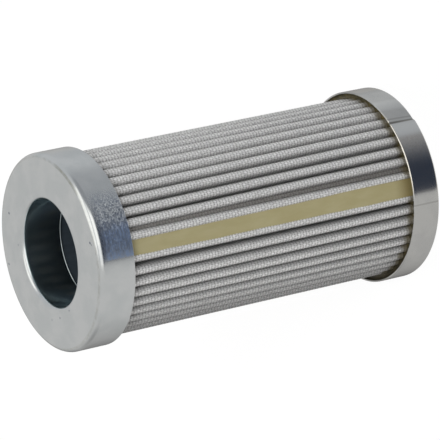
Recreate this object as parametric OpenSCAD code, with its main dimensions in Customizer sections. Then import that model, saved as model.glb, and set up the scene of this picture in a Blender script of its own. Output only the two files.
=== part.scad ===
// Pleated hydraulic filter element: two pressed steel end caps on a perforated
// core tube, with a layered pleated pack between them and a seam strip down one side.
// It stands on its closed end. The origin is the centre of that end, Z is the axis.

/* [Element] */
// Outer diameter of both end caps
cap_d = 45; // [43:0.5:48]
// Length over both end caps
element_l = 90; // [60:1:160]

/* [End caps] */
// Thickness of the pressed sheet of both caps
cap_sheet = 0.5; // [0.4:0.05:0.8]
// Height of the open cap's skirt
open_skirt_h = 9; // [7:0.5:14]
// Height of the closed cap's skirt
closed_skirt_h = 7; // [5.5:0.5:14]
// Outer radius of the open cap's rounded corner
open_corner_r = 1.6; // [0.9:0.1:2.2]
// Outer radius of the closed cap's corner
closed_corner_r = 0.5; // [0.5:0.1:1.6]

/* [Bore] */
// Diameter of the bore in the open cap
bore_d = 24.5; // [23.5:0.5:26]
// Depth of the neck, from the open cap's face to the neck's cut end
neck_h = 10; // [6:0.5:16]
// Radius of the rounded lip where the face turns into the neck
lip_r = 1; // [0.9:0.1:1.5]

/* [Core tube] */
// Wall of the perforated core tube
core_wall = 0.6; // [0.4:0.1:1]
// Radial gap between the neck and the core tube round it
core_neck_gap = 0.1; // [0.05:0.05:0.3]
// Diameter of one perforation
core_hole_d = 5; // [3:0.5:5.5]
// Perforations in one row round the tube
core_holes_round = 10; // [6:1:11]
// Distance between rows of perforations along the tube
core_row_pitch = 7.5; // [6.5:0.5:12]
// Plain length left at each end of the perforated stretch
core_plain_end = 1.2; // [0.5:0.1:4]

/* [Pleated pack] */
// Radial gap between the pleat tips and the skirts of the caps
tip_gap = 1.1; // [0.6:0.1:1.6]
// Radial gap between the pleat roots and the core tube
root_gap = 0.1; // [0.05:0.05:0.3]
// Inner radius of the fold at a pleat's tip
tip_fold_r = 0.27; // [0.15:0.02:0.3]
// Inner radius of the fold at a pleat's root
root_fold_r = 0.06; // [0.04:0.02:0.1]
// Least gap left between neighbouring pleats at the core
pleat_gap = 0.2; // [0.1:0.02:0.4]

/* [Layers of the pack] */
// Outer woven wire mesh, on the dirty side
outer_mesh_t = 0.22; // [0.18:0.02:0.3]
// Fleece under the outer mesh
outer_fleece_t = 0.06; // [0.05:0.01:0.1]
// Coarse glass fibre layer
coarse_media_t = 0.14; // [0.1:0.02:0.2]
// Fine glass fibre layer
fine_media_t = 0.14; // [0.1:0.02:0.2]
// Fleece over the inner mesh
inner_fleece_t = 0.06; // [0.05:0.01:0.1]
// Inner woven wire mesh, on the clean side
inner_mesh_t = 0.18; // [0.14:0.02:0.26]

/* [Side seam] */
// Gap between the two ends of the pleated strip, filled by the seam strip's foot
seam_gap = 0.6; // [0.3:0.1:1]
// Depth of the seam strip's flat outer face below the pleat tips
strip_recess = 0.33; // [0.2:0.01:0.8]

/* [Adhesive] */
// Adhesive between each cap's sheet and the ends of the pleats
adhesive_base = 0.8; // [0.4:0.1:1.5]
// Depth of the adhesive below the open cap's rim
open_adhesive_drop = 1.5; // [0.5:0.1:3]
// Depth of the adhesive below the closed cap's rim
closed_adhesive_drop = 1.2; // [0.5:0.1:2.5]

/* [Hidden] */

$fn = 96;
// Straight pieces in the round fold at a tip and at a root
TIP_STEPS = 8;
ROOT_STEPS = 4;
// Overshoot of a cut past the face that it opens
CUT = 1;
// The sections are drawn with the seam on +Y and turned to put it on -Y
SEAM_TURN = 180;

// Radii of the caps, the neck and the core tube
cap_r = cap_d / 2;
skirt_r = cap_r - cap_sheet;
bore_r = bore_d / 2;
neck_r = bore_r + cap_sheet;
core_in_r = neck_r + core_neck_gap;
core_out_r = core_in_r + core_wall;
hollow_r = (neck_r + skirt_r) / 2;

// Levels along the axis
roof_z = element_l - cap_sheet;
neck_end_z = element_l - neck_h;
core_top_z = element_l - lip_r;
pack_low_z = cap_sheet + adhesive_base;
pack_high_z = roof_z - adhesive_base;
closed_adhesive_z = closed_skirt_h - closed_adhesive_drop;
open_adhesive_z = element_l - open_skirt_h + open_adhesive_drop;

// Perforated stretch of the core tube, clear of the adhesive and of the neck
holes_low_z = closed_adhesive_z + core_plain_end;
holes_high_z = min(open_adhesive_z, neck_end_z) - core_plain_end;
hole_rows = 1 + floor((holes_high_z - holes_low_z - core_hole_d) / core_row_pitch);
first_row_z = (holes_low_z + holes_high_z - (hole_rows - 1) * core_row_pitch) / 2;
hole_step = 360 / core_holes_round;

// Depth of each face between layers below the outermost face of the pack
layer_t = [outer_mesh_t, outer_fleece_t, coarse_media_t, fine_media_t, inner_fleece_t, inner_mesh_t];
function depth(i) = i == 0 ? 0 : depth(i - 1) + layer_t[i - 1];
pack_t = depth(len(layer_t));

// Circles of the folds: their outer radii and how far their centres lie from the axis
tip_turn_r = tip_fold_r + pack_t;
root_turn_r = root_fold_r + pack_t;
tip_r = skirt_r - tip_gap;
tip_centre_r = tip_r - tip_turn_r;
root_centre_r = core_out_r + root_gap + root_turn_r;

// Places round the pack: as many as fit at the core, one of them taken by the seam
least_pitch = 2 * asin((2 * root_turn_r + pleat_gap) / (2 * root_centre_r));
places = floor(360 / least_pitch);
pitch = 360 / places;
root_x = root_centre_r * sin(pitch / 2);
root_y = root_centre_r * cos(pitch / 2);

// A flank of a pleat on +Y touches the tip circle on its outer side and the root
// circle on its inner side. flank_angle is the direction square to the right flank.
flank_run = norm([root_x, tip_centre_r - root_y]);
flank_angle = atan2(root_y - tip_centre_r, root_x) + acos((tip_turn_r + root_fold_r) / flank_run);

// Levels of the side seam's outer face and of its foot, with the seam on +Y
strip_y = tip_r - strip_recess;
foot_y = root_y - root_turn_r;

function turned(p, a) = [p[0] * cos(a) - p[1] * sin(a), p[0] * sin(a) + p[1] * cos(a)];
function reversed(list) = [for (i = [len(list) - 1 : -1 : 0]) list[i]];
function arc(centre, r, from, to, steps) = [
    for (i = [0 : steps]) let (a = from + (to - from) * i / steps) centre + r * [cos(a), sin(a)]
];

// Round fold at the tip of a pleat on +Y, from its right flank to its left flank
function tip_fold(d) =
    arc([0, tip_centre_r], tip_turn_r - d, flank_angle, 180 - flank_angle, TIP_STEPS);

// Round fold at the root on the left of that pleat, as far as the next pleat's flank
function root_fold(d) =
    arc([-root_x, root_y], root_fold_r + d, -flank_angle, flank_angle + pitch - 180, ROOT_STEPS);

// Fold from the last pleat down to the floor of the seam, and along the floor to the gap
function seam_fold(d) = concat(
    arc([root_x, root_y], root_fold_r + d, -flank_angle - pitch, -90, ROOT_STEPS),
    [[seam_gap / 2, root_y - root_fold_r - d]]
);

// One face of the pack at a depth, from one side of the seam all the way round to the other
function pack_face(d) = concat(
    reversed([for (p = seam_fold(d)) [-p[0], p[1]]]),
    [
        for (k = [1 : places - 1], p = concat(tip_fold(d), k < places - 1 ? root_fold(d) : []))
            turned(p, k * pitch)
    ],
    seam_fold(d)
);

// Area between two radii, up to a flat top with a rounded corner at each side
module round_topped(r0, r1, low, top, fillet0, fillet1) {
    difference() {
        translate([r0, low])
            square([r1 - r0, top - low]);
        if (fillet0 > 0)
            translate([r0 + fillet0, top - fillet0])
                mirror([1, 0])
                    corner_cut(fillet0);
        if (fillet1 > 0)
            translate([r1 - fillet1, top - fillet1])
                corner_cut(fillet1);
    }
}

module corner_cut(r) {
    difference() {
        square(r + CUT);
        circle(r);
    }
}

// Section of the open cap's sheet with its face at level 0, drawn to the right of the axis
module open_cap_area() {
    low = -max(open_skirt_h, neck_h) - CUT;
    difference() {
        round_topped(bore_r, cap_r, low, 0, lip_r, open_corner_r);
        open_cap_inside(low - CUT);
        translate([0, low - CUT])
            square([hollow_r, CUT - low - neck_h]);
        translate([hollow_r, low - CUT])
            square([cap_r, CUT - low - open_skirt_h]);
    }
}

// Section of the space under the open cap's sheet, between the neck and the skirt
module open_cap_inside(low) {
    round_topped(neck_r, skirt_r, low, -cap_sheet, lip_r - cap_sheet, open_corner_r - cap_sheet);
}

// Section of the closed cap's sheet with its face at level 0
module closed_cap_area() {
    difference() {
        round_topped(0, cap_r, -closed_skirt_h, 0, 0, closed_corner_r);
        closed_cap_inside(-closed_skirt_h - CUT);
    }
}

// Section of the space under the closed cap's sheet
module closed_cap_inside(low) {
    round_topped(0, skirt_r, low, -cap_sheet, 0, closed_corner_r - cap_sheet);
}

// Section of the cured strip that joins the two ends of the pleated strip: it fills the
// seam place between its neighbours and reaches down through the gap with its foot
module seam_strip_area() {
    difference() {
        seam_wedge();
        difference() {
            polygon(pack_face(0));
            translate([-seam_gap / 2, foot_y - CUT])
                square([seam_gap, pack_t + 2 * CUT]);
        }
    }
}

// Wedge between the centre lines of the pleats beside the seam, up to the strip's face
module seam_wedge() {
    side = tan(pitch);
    polygon([
        [-foot_y * side, foot_y], [foot_y * side, foot_y],
        [strip_y * side, strip_y], [-strip_y * side, strip_y]
    ]);
}

// Section of all layers with the strip between their ends
module whole_pack_area() {
    difference() {
        union() {
            polygon(pack_face(0));
            seam_wedge();
        }
        polygon(pack_face(pack_t));
    }
}

// Runs a section of the pack from the lower to the upper adhesive
module along_pack() {
    translate([0, 0, pack_low_z])
        rotate([0, 0, SEAM_TURN])
            linear_extrude(pack_high_z - pack_low_z)
                children();
}

module pack_layer(i) {
    along_pack()
        polygon(concat(pack_face(depth(i)), reversed(pack_face(depth(i + 1)))));
}

module open_end_cap() {
    color("silver")
        translate([0, 0, element_l])
            rotate_extrude()
                open_cap_area();
}

module closed_end_cap() {
    color("silver")
        mirror([0, 0, 1])
            rotate_extrude()
                closed_cap_area();
}

module core_tube() {
    color("dimgray")
        difference() {
            translate([0, 0, cap_sheet])
                cylinder(h = core_top_z - cap_sheet, r = core_out_r);
            cylinder(h = element_l, r = core_in_r);
            for (row = [0 : hole_rows - 1], i = [0 : core_holes_round - 1])
                rotate([0, 0, (i + (row % 2) / 2) * hole_step])
                    translate([core_in_r - CUT, 0, first_row_z + row * core_row_pitch])
                        rotate([0, 90, 0])
                            cylinder(h = core_wall + 2 * CUT, d = core_hole_d);
        }
}

module outer_wire_mesh() {
    color("lightgray")
        pack_layer(0);
}

module outer_fleece() {
    color("ivory")
        pack_layer(1);
}

module coarse_media() {
    color("white")
        pack_layer(2);
}

module fine_media() {
    color("whitesmoke")
        pack_layer(3);
}

module inner_fleece() {
    color("ivory")
        pack_layer(4);
}

module inner_wire_mesh() {
    color("darkgray")
        pack_layer(5);
}

module seam_strip() {
    color("darkkhaki")
        along_pack()
            seam_strip_area();
}

module open_end_adhesive() {
    color("darkolivegreen")
        difference() {
            translate([0, 0, element_l])
                rotate_extrude()
                    difference() {
                        open_cap_inside(open_adhesive_z - element_l);
                        translate([0, -element_l])
                            square([core_out_r, element_l]);
                    }
            along_pack()
                whole_pack_area();
        }
}

module closed_end_adhesive() {
    color("darkolivegreen")
        difference() {
            mirror([0, 0, 1])
                rotate_extrude()
                    difference() {
                        closed_cap_inside(-closed_adhesive_z);
                        translate([0, -element_l])
                            square([core_out_r, element_l]);
                    }
            along_pack()
                whole_pack_area();
        }
}

open_end_cap();
closed_end_cap();
core_tube();
outer_wire_mesh();
outer_fleece();
coarse_media();
fine_media();
inner_fleece();
inner_wire_mesh();
seam_strip();
open_end_adhesive();
closed_end_adhesive();
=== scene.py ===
"""Looks of a pleated hydraulic filter element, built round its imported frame.

The element stands on its closed cap, with its axis on +Z and its side seam facing -Y.
Sizes in the classes are in millimetres and are made metres only when a mesh is written.
"""

import logging
import math
from dataclasses import dataclass
from enum import Enum
from functools import cached_property
from typing import Any, Callable, Optional, Sequence, Union

import bpy
import numpy as np
from bpy.types import Material, Node, NodeSocket, Object, World
from mathutils import Matrix, Vector


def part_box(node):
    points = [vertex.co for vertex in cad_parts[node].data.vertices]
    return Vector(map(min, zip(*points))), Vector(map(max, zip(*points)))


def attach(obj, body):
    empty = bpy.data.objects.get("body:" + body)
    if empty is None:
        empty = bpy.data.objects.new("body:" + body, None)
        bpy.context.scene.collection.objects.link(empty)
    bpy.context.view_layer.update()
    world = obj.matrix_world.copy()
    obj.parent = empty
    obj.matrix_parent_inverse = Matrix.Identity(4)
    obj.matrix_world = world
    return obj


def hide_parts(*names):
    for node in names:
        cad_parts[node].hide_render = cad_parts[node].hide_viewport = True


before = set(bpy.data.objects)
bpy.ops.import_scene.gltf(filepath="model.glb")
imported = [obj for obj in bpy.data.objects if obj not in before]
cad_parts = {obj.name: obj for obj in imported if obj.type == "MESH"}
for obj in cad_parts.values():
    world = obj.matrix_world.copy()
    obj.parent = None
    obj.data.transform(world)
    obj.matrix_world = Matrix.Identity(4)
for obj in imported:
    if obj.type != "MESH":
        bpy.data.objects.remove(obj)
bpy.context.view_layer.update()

MM = 0.001
TURN = 2 * math.pi
DEGREES = 180 / math.pi
WORLD_X, WORLD_Y, WORLD_Z = Matrix.Identity(3)
BODY = "root"
log = logging.getLogger("filter_element")

Array = np.ndarray
Colour = tuple[float, float, float]
BLACK: Colour = (0.0, 0.0, 0.0)

# Where a smooth step starts and where it ends.
Span = tuple[float, float]

# Mask round the axis: its middle, and the degrees from it within which it is 1 and from which it is 0.
Arc = tuple[float, float, float]

# Small dent or scratch: x, y and size on the end face; or a painted stripe of shade or reflection on the
# wall: angle, half width and strength.
Mark = tuple[float, float, float]

# Elevation and azimuth of a place in the room, in degrees.
Place = tuple[float, float]

# Face of a band: its points as rows by points by 2, and the heights of its rows.
Sheet = tuple[Array, Array]


def frame_box(node: str) -> tuple[Array, Array]:
    """Lowest and highest corner of a CAD node's box, in millimetres."""
    low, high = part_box(node)
    return np.array(low) / MM, np.array(high) / MM


def levels(node: str, cells: int) -> Array:
    """Even heights from the foot of a CAD node to its top."""
    low, high = frame_box(node)
    return np.linspace(low[2], high[2], cells + 1)


def direction(place: Place, side: Vector, up: Vector, front: Vector) -> Vector:
    """Unit vector towards a place, whose elevation is over the level and azimuth from front to side."""
    elevation, azimuth = place
    e, a = math.radians(elevation), math.radians(azimuth)
    return math.sin(e) * up + math.cos(e) * (math.cos(a) * front + math.sin(a) * side)


class Slot(Enum):
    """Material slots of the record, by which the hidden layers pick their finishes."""

    CAP_STEEL = "plated_cap_steel"
    WIRE = "mesh_wire"
    FLEECE = "fleece"
    GLASS = "glass_media"
    RESIN = "seam_resin"
    ADHESIVE = "cap_adhesive"


class Value:
    """A number socket of a shader, on which Python's operators add Math nodes."""

    def __init__(self, shader: "Shader", socket: NodeSocket) -> None:
        """Wraps one output socket of a shader's node."""
        self.shader = shader
        self.socket = socket

    def __add__(self, other: "Number") -> "Value":
        """Sum, in either order."""
        return self.shader.maths("ADD", self, other)

    def __sub__(self, other: "Number") -> "Value":
        """Difference."""
        return self.shader.maths("SUBTRACT", self, other)

    def __rsub__(self, other: "Number") -> "Value":
        """Difference from a plain number."""
        return self.shader.maths("SUBTRACT", other, self)

    def __mul__(self, other: "Number") -> "Value":
        """Product, in either order."""
        return self.shader.maths("MULTIPLY", self, other)

    def __truediv__(self, other: "Number") -> "Value":
        """Quotient."""
        return self.shader.maths("DIVIDE", self, other)

    __radd__ = __add__
    __rmul__ = __mul__


Number = Union[Value, float]


class Shader:
    """A node material, or a surround, whose number maths is written as Python expressions."""

    # Keeps the distance from the axis above 0.
    off_axis = 0.0001

    # Numbers of the colour sockets of a Mix node.
    colour_inputs = (6, 7)
    colour_output = 2

    def __init__(self, name: str, surround: bool = False) -> None:
        """Starts an empty material, or the world that surrounds the scene."""
        self.made = (bpy.data.worlds if surround else bpy.data.materials).new(name)
        self.made.use_nodes = True
        self.tree = self.made.node_tree
        self.tree.nodes.clear()
        self.output = "OutputWorld" if surround else "OutputMaterial"

    def node(self, kind: str, values: Optional[dict[Any, Any]] = None, **settings: Any) -> Node:
        """Adds a node.

        Args:
            kind: the node's type without its ShaderNode prefix.
            values: what goes into its sockets, by name or number: a plain value, a Value or a socket.
            settings: properties of the node, set before its sockets.

        Returns:
            The new node.
        """
        made = self.tree.nodes.new("ShaderNode" + kind)
        for key, setting in settings.items():
            setattr(made, key, setting)
        for key, value in (values or {}).items():
            source = value.socket if isinstance(value, Value) else value
            if isinstance(source, NodeSocket):
                self.tree.links.new(source, made.inputs[key])
            else:
                made.inputs[key].default_value = source
        return made

    def close(self, shown: Node) -> Union[Material, World]:
        """Sends a node to the output and returns the finished material or world."""
        self.node(self.output, {"Surface": shown.outputs[0]})
        return self.made

    def maths(self, operation: str, *values: Number) -> Value:
        """Adds a Math node and returns its result."""
        return Value(self, self.node("Math", dict(enumerate(values)), operation=operation).outputs[0])

    def cosine(self, value: Value, length: float) -> Value:
        """Cosine along a value, with a given wave length."""
        return self.maths("COSINE", value * (TURN / length))

    def rise(self, value: Number, low: float, high: float) -> Value:
        """Smooth rise of a value from 0 at low to 1 at high."""
        values = {"Value": value, "From Min": low, "From Max": high}
        return Value(self, self.node("MapRange", values, interpolation_type="SMOOTHSTEP").outputs["Result"])

    def fall(self, value: Number, low: float, high: float) -> Value:
        """Smooth fall of a value from 1 at low to 0 at high."""
        return 1.0 - self.rise(value, low, high)

    def noise(self, vector: Any, scale: float, detail: float = 2.0, roughness: float = 0.5) -> Value:
        """Noise over a vector, about 0.5 on average: cells in one unit, finer octaves and their weight."""
        values = {"Vector": vector, "Scale": scale, "Detail": detail, "Roughness": roughness}
        return Value(self, self.node("TexNoise", values).outputs[0])

    def cloud(
        self, scale: float, detail: float = 2.0, roughness: float = 0.5, squeeze: Colour = (1.0, 1.0, 1.0)
    ) -> Value:
        """Noise over the place on the element, squeezed along x, y and z by plain factors."""
        vector = self.vector(*(axis * factor for axis, factor in zip(self.place, squeeze)))
        return self.noise(vector, scale, detail, roughness)

    def mix(self, amount: Number, first: Any, second: Any) -> NodeSocket:
        """Mixes two colours or colour sockets: an amount of 0 gives the first, and 1 the second."""
        values = {0: amount}
        for index, colour in zip(self.colour_inputs, (first, second)):
            values[index] = colour if isinstance(colour, NodeSocket) else (*colour, 1.0)
        return self.node("Mix", values, data_type="RGBA").outputs[self.colour_output]

    def vector(self, x: Number, y: Number, z: Number) -> NodeSocket:
        """Joins three numbers to a vector."""
        return self.node("CombineXYZ", {0: x, 1: y, 2: z}).outputs[0]

    def dot(self, vector: Any, axis: Sequence[float]) -> Value:
        """Share of a vector along a fixed axis."""
        made = self.node("VectorMath", {0: vector, 1: tuple(axis)}, operation="DOT_PRODUCT")
        return Value(self, made.outputs["Value"])

    @cached_property
    def place(self) -> tuple[Value, ...]:
        """Place on the element in millimetres: x, y and z."""
        coords = self.node("TexCoord").outputs["Object"]
        scaled = self.node("VectorMath", {0: coords, "Scale": 1 / MM}, operation="SCALE")
        return tuple(Value(self, part) for part in self.node("SeparateXYZ", {0: scaled.outputs[0]}).outputs)

    @cached_property
    def radius(self) -> Value:
        """Distance from the axis in millimetres, kept just above 0."""
        x, y, _ = self.place
        return self.maths("SQRT", x * x + y * y + self.off_axis)

    @cached_property
    def uv(self) -> tuple[Value, ...]:
        """The piece's own UV map, in millimetres: across and along."""
        parts = self.node("SeparateXYZ", {0: self.node("TexCoord").outputs["UV"]}).outputs
        return tuple(Value(self, part) for part in parts[:2])

    def facing(self, middle: float, full: float, none: float) -> Value:
        """Mask round the axis, with the three angles of an Arc."""
        x, y, _ = self.place
        angle = math.radians(middle)
        cosine = (x * math.cos(angle) + y * math.sin(angle)) / self.radius
        return self.rise(cosine, math.cos(math.radians(none)), math.cos(math.radians(full)))

    def bump(self, height: Value, depth: float) -> NodeSocket:
        """Normal bent by a relief from 0 to 1 that is some millimetres deep."""
        return self.node("Bump", {"Height": height, "Distance": depth * MM, "Strength": 1.0}).outputs[0]

    def glow(self, colour: Colour) -> Node:
        """Even light of a colour."""
        return self.node("Emission", {"Color": (*colour, 1.0), "Strength": 1.0})

    def surface(self, colour: Any, roughness: Number, normal: Any, metallic: Number = 0.0) -> Material:
        """Closes the material with a Principled surface and returns it."""
        values = {"Base Color": colour, "Roughness": roughness, "Normal": normal, "Metallic": metallic}
        return self.close(self.node("BsdfPrincipled", values))


@dataclass(frozen=True)
class PlatedSteel:
    """Zinc plated pressed sheet: satin grey, with fine rings, soft blotches and handling marks.

    A painted bluish reflection, with pale specks and dark spots in it, lies on one side of the wall, which
    is the skirt's outer face. Painted stripes of shade and of bright reflection run along the wall, and a
    sheared rim can carry a painted highlight. Wear marks lie round the neck. The outer corner is darker
    olive, most where it is a painted dark reflection, and the bore is tinted bluish.
    """

    name: str
    colour: Colour = (0.78, 0.806, 0.82)
    dull_colour: Colour = (0.72, 0.754, 0.77)
    roughness: float = 0.21
    blotch_size: float = 6.0
    ring_size: float = 0.25
    ring_depth: float = 0.004
    wall: Span = (21.8, 22.2)
    wall_top: Span = (87.0, 89.0)
    # Painted bluish reflection on one side of the skirt, with pale specks and dark spots in it.
    painted_reflection_share: float = 1.0
    reflection_band_roughness: float = 0.2
    painted_reflection_colour: Colour = (0.47, 0.65, 0.98)
    painted_reflection_high_colour: Colour = (0.60, 0.65, 0.71)
    painted_reflection_arc: Arc = (-84.0, 20.0, 33.0)
    painted_reflection_edge: Arc = (-58.0, 34.6, 36.2)
    speck_arc: Arc = (-58.0, 6.0, 22.0)
    speck_roughness: float = 0.5
    pale_reflection_colour: Colour = (0.94, 0.96, 0.96)
    # Painted reflection: bright bands along the skirt.
    painted_reflection_bands: tuple[Mark, ...] = ()
    # Painted highlight: a cream line on a sheared rim, on one side.
    rim_highlight_share: float = 0.0
    rim_highlight_colour: Colour = (1.0, 0.97, 0.9)
    rim_z: Span = (6.65, 6.9)
    rim_highlight_arc: Arc = (-65.0, 16.0, 30.0)
    # Darker olive tone in the outer corner, most where it is a painted dark reflection.
    corner_colour: Colour = (0.34, 0.33, 0.24)
    corner_inside: Span = (21.3, 21.6)
    corner_outside: Span = (21.8, 22.1)
    corner_z: Span = (88.7, 89.1)
    corner_reflection_arc: Arc = (-37.0, 5.0, 17.0)
    bore_tint_share: float = 1.0
    bore_tint_colour: Colour = (0.74, 0.85, 0.88)
    bore_tint_r: Span = (12.22, 12.41)
    neck_r: Span = (14.2, 14.8)
    neck_z: Span = (89.8, 89.95)
    face_z: Span = (89.7, 89.9)
    mark_and_shade_colour: Colour = (0.24, 0.27, 0.34)
    marks: tuple[Mark, ...] = (
        (8.84, 16.03, 0.38), (-2.96, 19.93, 0.34), (2.94, -19.99, 0.42), (2.5, -20.4, 0.26),
        (-14.47, -0.76, 0.28), (-12.6, -5.6, 0.24), (-15.1, 3.2, 0.22), (1.6, 13.9, 0.22),
    )
    mark_core: float = 0.35
    # Painted shade: dark stripes along the skirt.
    painted_shade_lines: tuple[Mark, ...] = ((-89.0, 6.5, 0.25), (-176.0, 12.0, 0.3))
    line_core: float = 0.3

    def material(self) -> Material:
        """Builds the material: noise on ring coordinates, which have no seam round the axis."""
        shader = Shader(self.name)
        x, y, z = shader.place
        radius = shader.radius
        ring_place = shader.vector(x / radius, y / radius, shader.uv[1] / self.ring_size)
        rings = shader.noise(ring_place, 1.0, 4.0, 0.6)
        blotches = shader.cloud(1 / self.blotch_size, 3.0, 0.55)
        streaks = shader.cloud(1.0, 3.0, 0.65, (0.9, 0.9, 2.4))
        dots = shader.cloud(2.5, 3.0, 0.7, (1.0, 1.0, 1.1))
        fine = shader.cloud(1.6)
        wall = shader.rise(radius, *self.wall)

        # Painted reflection: a bluish band on one side of the skirt, mottled with pale specks and dark
        # spots.
        painted_reflection = shader.facing(*self.painted_reflection_arc) * shader.facing(*self.painted_reflection_edge) * wall
        painted_reflection = painted_reflection * shader.fall(z, *self.wall_top) * (shader.rise(streaks, 0.35, 0.65) * 0.5 + 0.5)
        painted_reflection = painted_reflection * self.painted_reflection_share
        speckled = shader.facing(*self.speck_arc) * 0.8 + 0.1
        specks = painted_reflection * speckled * shader.rise(dots, 0.5, 0.56) * self.painted_reflection_share
        dark_spots = painted_reflection * speckled * shader.fall(dots, 0.4, 0.5) * (0.75 * self.painted_reflection_share)
        colour = shader.mix(shader.rise(blotches, 0.35, 0.65), self.colour, self.dull_colour)
        # The painted reflection, with its pale specks and dark spots, goes into the colour.
        colour = shader.mix(painted_reflection, colour, shader.mix(speckled, self.painted_reflection_colour, self.painted_reflection_high_colour))
        colour = shader.mix(specks, shader.mix(dark_spots, colour, self.mark_and_shade_colour), self.pale_reflection_colour)
        # Painted reflection: bright bands along the skirt.
        for band in self.painted_reflection_bands:
            colour = shader.mix(wall * self.stripe(shader, *band), colour, self.pale_reflection_colour)
        # Painted highlight: a cream line on the sheared rim, on one side.
        rim = shader.rise(z, *self.rim_z) * shader.facing(*self.rim_highlight_arc) * self.rim_highlight_share
        colour = shader.mix(rim, colour, self.rim_highlight_colour)

        # The outer corner is tinted darker olive: faintly all round, and most round -37°, where it is a
        # painted dark reflection.
        corner = shader.rise(radius, *self.corner_inside) * shader.fall(radius, *self.corner_outside)
        corner_darkening = shader.rise(streaks, 0.4, 0.6) * 0.16 + 0.06 + shader.facing(*self.corner_reflection_arc) * 0.35
        colour = shader.mix(corner * shader.rise(z, *self.corner_z) * corner_darkening, colour, self.corner_colour)
        # Bluish tint inside the bore.
        bore_tint = shader.fall(radius, *self.bore_tint_r) * self.bore_tint_share
        colour = shader.mix(bore_tint, colour, self.bore_tint_colour)

        neck = shader.fall(radius, *self.neck_r) * shader.rise(z, *self.neck_z)
        worn = neck * shader.rise(rings, 0.5, 0.58) * shader.rise(streaks, 0.42, 0.6) * 0.1
        marks_and_painted_shade = self.face_marks(shader, fine) + worn
        # Painted shade: dark stripes along the skirt, added to the real marks.
        for line in self.painted_shade_lines:
            marks_and_painted_shade = marks_and_painted_shade + wall * self.stripe(shader, *line)
        colour = shader.mix(marks_and_painted_shade, colour, self.mark_and_shade_colour)
        roughness = self.roughness + 0.1 * (blotches - 0.5) + 0.1 * (rings - 0.5)
        roughness = roughness + self.reflection_band_roughness * painted_reflection + self.speck_roughness * specks
        return shader.surface(colour, roughness, shader.bump(rings * 0.7 + fine * 0.3, self.ring_depth), 1.0)

    def stripe(self, shader: Shader, angle: float, width: float, strength: float) -> Value:
        """Soft stripe along the axis, with the three numbers of a Mark."""
        return shader.facing(angle, self.line_core * width, width) * strength

    def face_marks(self, shader: Shader, rough: Value) -> Value:
        """Mask of the small dents and scratches on the end face.

        Args:
            shader: the material in the making.
            rough: noise that frays the marks.

        Returns:
            1 in the middle of a dent or scratch, 0 away from all.
        """
        x, y, z = shader.place
        total: Number = 0.0
        for mark_x, mark_y, size in self.marks:
            off_x, off_y = x - mark_x, y - mark_y
            away = shader.maths("SQRT", off_x * off_x + off_y * off_y) + (rough - 0.5) * size
            total = shader.fall(away, self.mark_core * size, size) + total
        return shader.rise(z, *self.face_z) * total


@dataclass(frozen=True)
class CoreSteel:
    """Dark bluish steel of the perforated tube, darker in patches."""

    name: str = "core_tube_steel"
    colour: Colour = (0.15, 0.19, 0.235)
    dark_share: float = 0.6
    roughness: float = 0.45
    metallic: float = 0.8

    def material(self) -> Material:
        """Builds the material."""
        shader = Shader(self.name)
        marks = shader.cloud(0.8, 3.0, squeeze=(1.0, 1.0, 0.2))
        colour = shader.mix(marks, self.colour, tuple(self.dark_share * c for c in self.colour))
        roughness = self.roughness + 0.2 * (marks - 0.5)
        return shader.surface(colour, roughness, shader.bump(marks, 0.01), self.metallic)


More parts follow.
